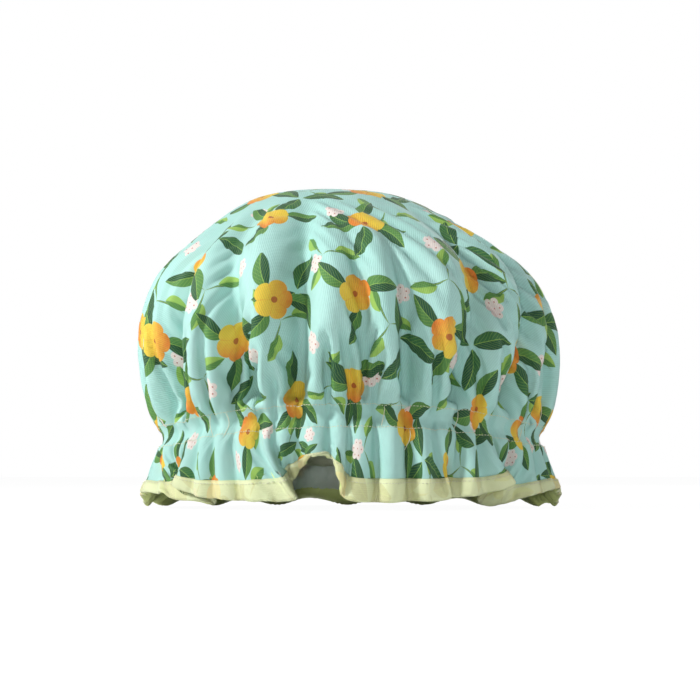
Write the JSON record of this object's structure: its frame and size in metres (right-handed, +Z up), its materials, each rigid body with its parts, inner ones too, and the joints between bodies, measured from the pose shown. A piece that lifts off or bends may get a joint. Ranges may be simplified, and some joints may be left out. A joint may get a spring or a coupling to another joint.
{
  "type": "bouffant shower cap",
  "caption": "Bouffant shower cap: a printed cloth dome with a waterproof lining, gathered on an elastic band above a bound ruffle, open below for the head.",
  "frame": {"origin": "under the middle of the cap's box, on the surface that the ruffle rests on", "axes": "+Z up through the crown, front of the cap towards -Y, +X to the viewer's right of the front"},
  "size_m": [0.2564, 0.2218, 0.1883],
  "materials": {
    "printed_cloth": "matte",
    "waterproof_lining": "satin",
    "elastic": "matte",
    "tape": "matte",
    "satin_binding": "satin"
  },
  "bodies": {
    "root": {"outer_shell": "printed_cloth", "lining": "waterproof_lining", "elastic_band": "elastic", "elastic_tunnel_tape": "tape", "edge_binding": "satin_binding"}
  },
  "joints": []
}
